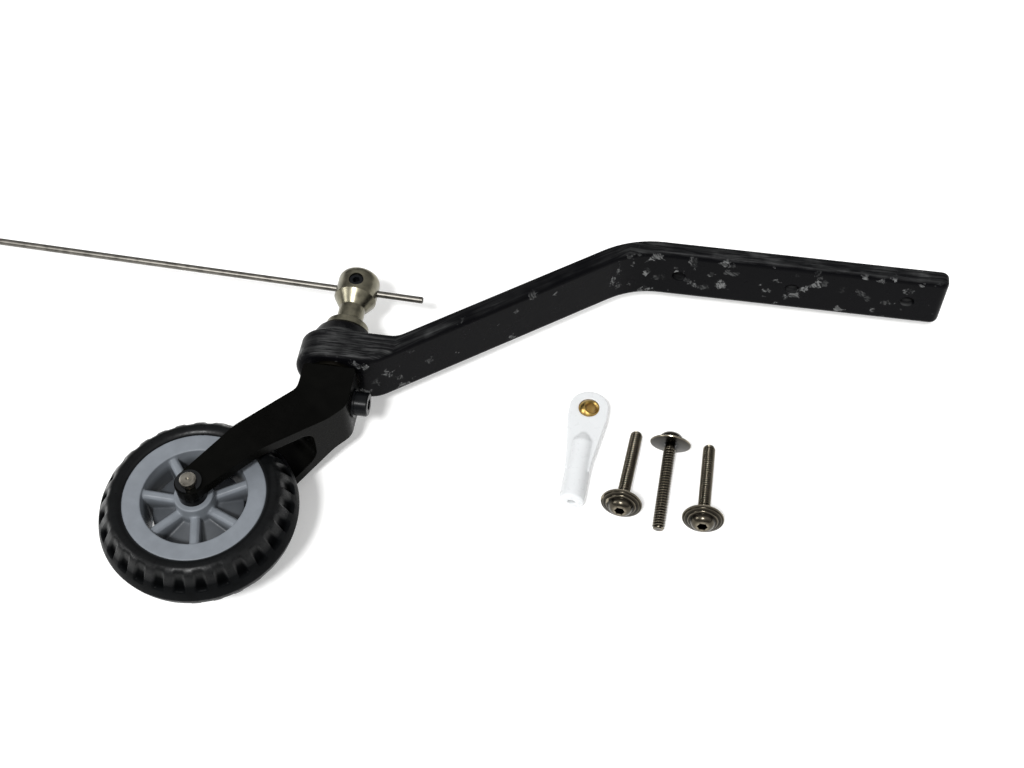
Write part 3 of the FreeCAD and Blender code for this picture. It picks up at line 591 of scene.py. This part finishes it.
def groove_depths(section, station, sizes):
    """Depth of the tread's groove at each point of the section, as shares of its full depth."""
    wall_middle = 0.5 - sizes.groove_share / 2
    pocket = smooth_step(0.5 - abs(station - 0.5), wall_middle - sizes.wall_share / 2,
                         wall_middle + sizes.wall_share / 2)
    rib = sizes.rib_half_width
    shoulder = sizes.shoulder_radius
    return [pocket * smooth_step(abs(height), rib, rib + sizes.rib_wall)
            * smooth_step(radius, shoulder - sizes.groove_lead, shoulder + sizes.groove_reach)
            for radius, height in section]


def tyre_ring(section, depths, angle, sizes):
    """One section of the tyre at an angle, from the upper bead over the tread and back along the seat."""
    profile = []
    for index, (radius, height) in enumerate(section):
        before = section[max(index - 1, 0)]
        after = section[min(index + 1, len(section) - 1)]
        outward = Vector((before[1] - after[1], after[0] - before[0])).normalized()
        depth = sizes.groove_depth * depths[index]
        profile.append((radius - outward.x * depth, height - outward.y * depth))
    profile += [(sizes.bead_radius, -sizes.foot_height), (sizes.seat_radius, -sizes.seat_half_width),
                (sizes.seat_radius, sizes.seat_half_width), (sizes.bead_radius, sizes.foot_height)]
    return [(radius * math.cos(angle), radius * math.sin(angle), height) for radius, height in profile]


def hexagon_radius(angle, across_flats):
    return across_flats / 2 / math.cos((angle + math.pi / 6) % (math.pi / 3) - math.pi / 6)


def round_ring(radius, height, radius_at=None, segments=48):
    """Ring of points round Z, of an even radius or of one worked out from the angle."""
    ring = []
    for index in range(segments):
        angle = 2 * math.pi * index / segments
        here = radius_at(angle) if radius_at else radius
        ring.append((here * math.cos(angle), here * math.sin(angle), height))
    return ring


def thread_rings(sizes, root):
    """Rings of the rolled thread, 8 to a pitch, which runs in at the tip and out under the flange."""
    rings = []
    step = sizes.thread_pitch / 8
    tip = -sizes.length
    chamfer = 0.05
    lead = 0.6
    neck = 1.0
    for index in range(int((sizes.length - neck) / step)):
        height = tip + chamfer + index * step
        run_in = smooth_step(height, tip, tip + lead)
        run_out = smooth_step(-height, neck - 0.1, neck + 0.3)

        def radius_at(angle, height=height, depth=sizes.thread_depth * run_in * run_out):
            phase = (height / sizes.thread_pitch - angle / (2 * math.pi)) % 1
            return root + depth * smooth_step(abs(phase - 0.5) * 2, 0.15, 0.85)

        rings.append(round_ring(None, height, radius_at))
    return rings


def screw_rings(sizes):
    """Rings of a flanged screw with its head up, from the tip to the bottom of its socket."""
    root = sizes.thread_radius - sizes.thread_depth
    fillet = 0.35
    rings = [round_ring(root * 0.3, -sizes.length), round_ring(root * 0.95, -sizes.length)]
    rings += thread_rings(sizes, root)
    rings += [round_ring(root, -fillet), round_ring(root + fillet, -0.02)]
    # Rolled rim of the flange and its two low steps: distance in from the rim, and height.
    for inset, height in ((0.2, 0.0), (0.06, 0.05), (0.0, 0.18), (0.04, 0.32), (0.16, 0.4), (0.42, 0.42),
                          (0.5, 0.56), (0.62, 0.62), (1.0, 0.64), (1.2, 0.72), (1.28, 0.9), (1.4, 0.98)):
        rings.append(round_ring(sizes.flange_radius - inset, height))
    # Domed head: radius and height.
    for radius, height in ((3.0, 1.0), (2.88, 1.04), (2.78, 1.16), (2.72, 1.45), (2.58, 1.8), (2.36, 2.1),
                           (2.08, 2.36), (1.8, 2.53), (1.55, 2.6)):
        rings.append(round_ring(radius, height))
    # Socket: its hexagon widens by 0.12 mm at the mouth, and its floor is a shallow cone.
    for widened, height in ((0.12, 2.58), (0.0, 2.48), (0.0, 1.2)):
        across_flats = sizes.socket + widened
        rings.append(round_ring(None, height, lambda angle: hexagon_radius(angle, across_flats)))
    rings.append(round_ring(0.3, 0.95))
    return rings


class TAILWHEEL_OT_arm(bpy.types.Operator):
    """Finish the arm and its bushings"""
    bl_idname = "tailwheel.arm"
    bl_label = "Arm"

    def execute(self, context):
        finishes = context.scene.tailwheel_finishes
        finish_node("arm", forged_carbon_moulded())
        # Sintered iron soaked in oil: dark and dull, with a pitted grain.
        iron = worked_metal("sintered_iron_oiled", finishes.bushing, roughness=0.4, marks=(1.0, 1.0, 1.0))
        finish_node("upper_bushing", iron)
        finish_node("lower_bushing", iron)
        return {"FINISHED"}


class TAILWHEEL_OT_steering(bpy.types.Operator):
    """Finish the steering post, its washers, the small black fasteners and the tiller wire"""
    bl_idname = "tailwheel.steering"
    bl_label = "Steering post and wire"

    def execute(self, context):
        finishes = context.scene.tailwheel_finishes
        # Turned stainless steel: fine rings round the steering axis draw each highlight out along it.
        steel = worked_metal("stainless_steel_turned", finishes.steel, roughness=0.3,
                             marks=(0.08, 6.0, 0.08))
        for name in ("steering_post", "upper_washer", "lower_washer"):
            finish_node(name, steel)
        # Black oxide on steel: a thin dark skin with a soft glint on its edges.
        black = moulded_skin("steel_black_oxide", finishes.black_steel, roughness=0.28, specular=0.12,
                             speckle=0.2, grain=2.0, depth=0.01)
        for name in ("wire_set_screw", "fork_clamp_screw", "fork_clamp_washer"):
            finish_node(name, black)
        # Drawn spring steel: lines along the wire keep one long even highlight.
        wire = worked_metal("spring_steel_drawn", finishes.wire, roughness=0.38, marks=(0.03, 1.0, 1.0),
                            depth=0.001)
        finish_node("tiller_wire", wire)
        return {"FINISHED"}


class TAILWHEEL_OT_fork(bpy.types.Operator):
    """Finish the fork"""
    bl_idname = "tailwheel.fork"
    bl_label = "Fork"

    def execute(self, context):
        finish_node("fork", aluminium_black_anodised(context.scene.tailwheel_finishes.anodised))
        return {"FINISHED"}


class TAILWHEEL_OT_axle(bpy.types.Operator):
    """Finish the axle, its clips and spacers"""
    bl_idname = "tailwheel.axle"
    bl_label = "Axle"

    def execute(self, context):
        finishes = context.scene.tailwheel_finishes
        # Ground stainless steel: nearly even, with a small bright end face.
        finish_node("axle", worked_metal("stainless_steel_ground", finishes.axle, roughness=0.28,
                                         marks=(0.1, 0.1, 5.0)))
        # Phosphated spring steel is black with a sharp glint, and moulded acetal is black and waxy.
        clip = moulded_skin("spring_steel_phosphated", finishes.black_steel, roughness=0.18, specular=0.25)
        spacer = moulded_skin("acetal_black_moulded", finishes.spacer, roughness=0.12, specular=0.07)
        for end in ("upper", "lower"):
            finish_node("axle_clip_" + end, clip)
            finish_node("axle_spacer_" + end, spacer)
        return {"FINISHED"}


class TAILWHEEL_OT_wheel_hub(bpy.types.Operator):
    """Make the moulded wheel hub"""
    bl_idname = "tailwheel.wheel_hub"
    bl_label = "Wheel hub"

    def execute(self, context):
        nylon = nylon_grey_moulded(context.scene.tailwheel_finishes.hub)
        moulded_copy("hub_moulding", "wheel_hub", voxel=0.2, rounds=3, material=nylon, body="wheel")
        return {"FINISHED"}


class TAILWHEEL_OT_tyre(bpy.types.Operator):
    """Make the tyre with its grooved shoulders"""
    bl_idname = "tailwheel.tyre"
    bl_label = "Tyre"

    def execute(self, context):
        sizes = in_millimetres(context.scene.tailwheel_tyre)
        low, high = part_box("wheel_tyre")
        section = tyre_outer_section(sizes)
        rings = []
        grooves = []
        for lug in range(sizes.lug_count):
            for station in lug_stations(sizes):
                angle = sizes.first_groove + 2 * math.pi * (lug + station - 0.5) / sizes.lug_count
                depths = groove_depths(section, station, sizes)
                ring = tyre_ring(section, depths, angle, sizes)
                rings.append(ring)
                grooves += depths + [0.0] * (len(ring) - len(depths))
        points, faces = skin_rings(rings, closed_loop=True)
        rubber = rubber_moulded(context.scene.tailwheel_finishes.rubber)
        tread = make_piece("tyre_tread", points, faces, rubber, body="wheel",
                           replaced="wheel_tyre", place=Matrix.Translation((low + high) / 2 / MM), sharp=50)
        tread.data.attributes.new("groove", "FLOAT", "POINT").data.foreach_set("value", grooves)
        return {"FINISHED"}


class TAILWHEEL_OT_ball_link(bpy.types.Operator):
    """Make the moulded ball link and finish its ball"""
    bl_idname = "tailwheel.ball_link"
    bl_label = "Ball link"

    def execute(self, context):
        finishes = context.scene.tailwheel_finishes
        # Moulded nylon without pigment lets light in a millimetre or so, which lifts its shadows.
        nylon = moulded_skin("nylon_white_moulded", finishes.link, roughness=0.3, specular=0.4,
                             speckle=0.01, grain=1.2, depth=0.01, Subsurface_Weight=0.4,
                             Subsurface_Radius=(1.0, 1.0, 1.0), Subsurface_Scale=1.2 * MM)
        moulded_copy("link_moulding", "ball_link_body", voxel=0.14, rounds=18, material=nylon,
                     body="arm_body")
        # Turned brass: warm yellow, with rings round the bore.
        finish_node("ball_link_ball", worked_metal("brass_turned", finishes.brass, roughness=0.3,
                                                   marks=(0.5, 0.5, 3.0)))
        return {"FINISHED"}


class TAILWHEEL_OT_mounting_screws(bpy.types.Operator):
    """Make the loose flanged screws with real threads"""
    bl_idname = "tailwheel.mounting_screws"
    bl_label = "Mounting screws"

    def execute(self, context):
        sizes = in_millimetres(context.scene.tailwheel_screw)
        steel = stainless_steel_cold_headed(context.scene.tailwheel_finishes.screw)
        points, faces = skin_rings(screw_rings(sizes))
        # Each screw leans on the rim of its flange and on its thread, 0.35 mm from the tip.
        rest = sizes.length - 0.35
        lean = math.atan2(sizes.flange_radius - sizes.thread_radius, rest)
        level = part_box("mount_screw_1")[0].z / MM + sizes.flange_radius * math.cos(lean)
        for index, (x, y, heading) in enumerate(SCREW_PLACES, start=1):
            place = (Matrix.Translation((x, y, level)) @ Matrix.Rotation(math.radians(heading), 4, "Z")
                     @ Matrix.Rotation(math.pi / 2 - lean, 4, "Y"))
            make_piece(f"flanged_screw_{index}", points, faces, steel, body="arm_body",
                       replaced=f"mount_screw_{index}", place=place, sharp=40)
        return {"FINISHED"}


class TAILWHEEL_OT_stage(bpy.types.Operator):
    """Set the camera, the lights and the floor"""
    bl_idname = "tailwheel.stage"
    bl_label = "Stage"

    def execute(self, context):
        scene = context.scene
        floor_level = cad_box[0][2]
        # The floor reaches 30 m each way, so that its far edge is only a thin band in low views.
        reach = 30.0
        mesh = bpy.data.meshes.new("floor")
        mesh.from_pydata([(-reach, -reach, floor_level), (reach, -reach, floor_level),
                          (reach, reach, floor_level), (-reach, reach, floor_level)], [], [(0, 1, 2, 3)])
        floor = bpy.data.objects.new("floor", mesh)
        scene.collection.objects.link(floor)
        # Matt white card, lit from below as well, so that shadows stay faint.
        card = start_material("card_matt_white", Base_Color=scene.tailwheel_finishes.floor, Roughness=0.9,
                              Emission_Color=(1, 1, 0.995, 1), Emission_Strength=0.25)[0]
        mesh.materials.append(card)

        camera_data = bpy.data.cameras.new("camera")
        camera_data.sensor_fit = "HORIZONTAL"
        camera_data.sensor_width = CAMERA_SENSOR
        camera_data.lens = CAMERA_LENS
        camera_data.clip_start = 0.01
        camera = bpy.data.objects.new("camera", camera_data)
        scene.collection.objects.link(camera)
        camera.matrix_world = (Matrix.Translation(Vector(CAMERA_PLACE) * MM)
                               @ Matrix.Rotation(math.radians(CAMERA_HEADING), 4, "Z")
                               @ Matrix.Rotation(math.radians(CAMERA_PITCH), 4, "X")
                               @ Matrix.Rotation(math.radians(CAMERA_ROLL), 4, "Z"))
        scene.camera = camera

        for name, toward, strength, spread in LIGHTS:
            light_data = bpy.data.lights.new(name, "SUN")
            light_data.energy = strength
            light_data.angle = math.radians(spread)
            light = bpy.data.objects.new(name, light_data)
            scene.collection.objects.link(light)
            light.rotation_euler = Vector(toward).to_track_quat("Z", "Y").to_euler()

        # The studio is dim near the floor and bright overhead, so that upright black faces stay black.
        world = bpy.data.worlds.new("studio")
        scene.world = world
        world.use_nodes = True
        tree = world.node_tree
        coords = add_node(tree, "ShaderNodeTexCoord")
        height = add_node(tree, "ShaderNodeSeparateXYZ", {0: coords.outputs["Generated"]})
        sky = add_node(tree, "ShaderNodeValToRGB", {0: height.outputs["Z"]},
                       stops=[(0.0, grey(0.2)), (0.5, grey(0.3)), (0.78, grey(0.7)), (1.0, grey(0.65))])
        tree.links.new(sky.outputs["Color"], tree.nodes["Background"].inputs["Color"])
        scene.view_settings.view_transform = "Standard"
        return {"FINISHED"}


PIECES = (TAILWHEEL_OT_arm, TAILWHEEL_OT_steering, TAILWHEEL_OT_fork, TAILWHEEL_OT_axle,
          TAILWHEEL_OT_wheel_hub, TAILWHEEL_OT_tyre, TAILWHEEL_OT_ball_link, TAILWHEEL_OT_mounting_screws,
          TAILWHEEL_OT_stage)


class TAILWHEEL_PT_panel(bpy.types.Panel):
    """Sizes, colours and a button for each piece"""
    bl_label = "Tailwheel"
    bl_idname = "TAILWHEEL_PT_panel"
    bl_space_type = "VIEW_3D"
    bl_region_type = "UI"
    bl_category = "Tailwheel"

    def draw(self, context):
        scene = context.scene
        for group in (scene.tailwheel_finishes, scene.tailwheel_tyre, scene.tailwheel_screw):
            box = self.layout.box()
            for name in type(group).__annotations__:
                box.prop(group, name)
        for piece in PIECES:
            self.layout.operator(piece.bl_idname)


CLASSES = (TailwheelFinishes, TyreSizes, ScrewSizes) + PIECES + (TAILWHEEL_PT_panel,)


def register():
    for kind in CLASSES:
        bpy.utils.register_class(kind)
    bpy.types.Scene.tailwheel_finishes = PointerProperty(type=TailwheelFinishes)
    bpy.types.Scene.tailwheel_tyre = PointerProperty(type=TyreSizes)
    bpy.types.Scene.tailwheel_screw = PointerProperty(type=ScrewSizes)


def unregister():
    del bpy.types.Scene.tailwheel_screw
    del bpy.types.Scene.tailwheel_tyre
    del bpy.types.Scene.tailwheel_finishes
    for kind in reversed(CLASSES):
        bpy.utils.unregister_class(kind)


def main():
    register()
    for piece in PIECES:
        group, name = piece.bl_idname.split(".")
        getattr(getattr(bpy.ops, group), name)()


if __name__ == "__main__":
    main()
